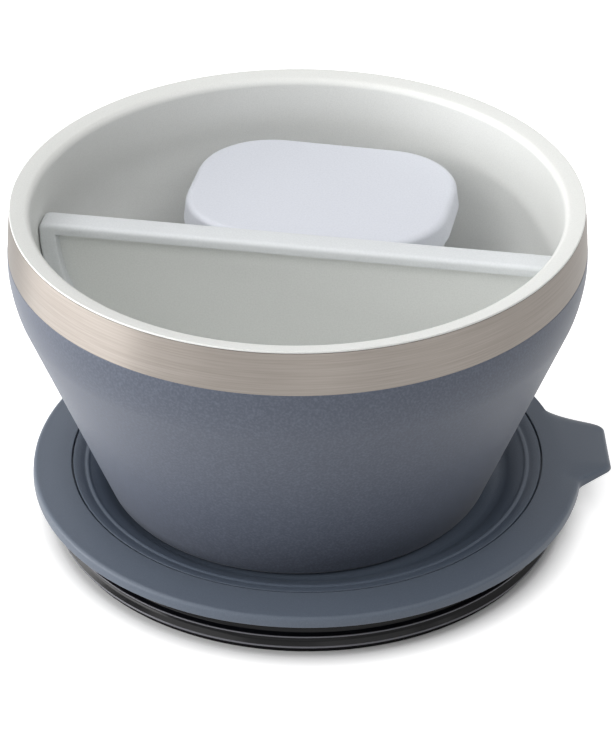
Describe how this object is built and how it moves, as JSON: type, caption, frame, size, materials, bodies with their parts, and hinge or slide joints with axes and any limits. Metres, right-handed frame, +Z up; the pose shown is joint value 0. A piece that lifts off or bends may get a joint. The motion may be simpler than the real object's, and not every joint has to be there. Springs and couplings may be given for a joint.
{
  "type": "insulated bowl",
  "caption": "Double-wall insulated steel food bowl with a lift-out divider, a lidded sauce cup and a sealing lid with a pull tab that the bowl stands in.",
  "frame": {"origin": "on the bowl's axis, on the surface that the lid's seal rests on", "axes": "+Z up along the bowl's axis, +X along the divider, +Y towards the sauce cup"},
  "size_m": [0.2026, 0.1908, 0.1212],
  "materials": {
    "lid_plastic": "satin moulded plastic",
    "lid_rubber": "matte soft-touch",
    "seal_rubber": "satin silicone",
    "liner_coat": "satin ceramic coat",
    "brushed_steel": "brushed round the rim",
    "powder_coat": "fine matte powder coat",
    "base_steel": "spun",
    "cap_steel": "spun",
    "solder_glass": "glossy",
    "getter_metal": "matte",
    "divider_rubber": "satin silicone",
    "divider_plastic": "satin moulded plastic",
    "cup_plastic": "satin moulded plastic",
    "cup_lid_plastic": "satin moulded plastic"
  },
  "bodies": {
    "lid": {"lid_dish": "lid_plastic", "lid_flange": "lid_rubber", "lid_seal": "seal_rubber"},
    "bowl": {"inner_liner": "liner_coat", "rim_band": "brushed_steel", "outer_shell": "powder_coat", "base_plate": "base_steel", "base_cap": "cap_steel", "port_seal": "solder_glass", "getter": "getter_metal"},
    "divider": {"divider_frame": "divider_rubber", "divider_panel": "divider_plastic"},
    "cup": {"sauce_cup": "cup_plastic"},
    "cup_lid": {"sauce_cup_lid": "cup_lid_plastic"}
  },
  "joints": [
    {"name": "bowl_lift", "type": "slide", "parent": "lid", "child": "bowl", "axis": [0, 0, 1], "range_m": [0, 0.12]},
    {"name": "divider_lift", "type": "slide", "parent": "bowl", "child": "divider", "axis": [0, 0, 1], "range_m": [0, 0.12]},
    {"name": "cup_lift", "type": "slide", "parent": "bowl", "child": "cup", "axis": [0, 0, 1], "range_m": [0, 0.12]},
    {"name": "cup_lid_lift", "type": "slide", "parent": "cup", "child": "cup_lid", "axis": [0, 0, 1], "range_m": [0, 0.05]}
  ]
}
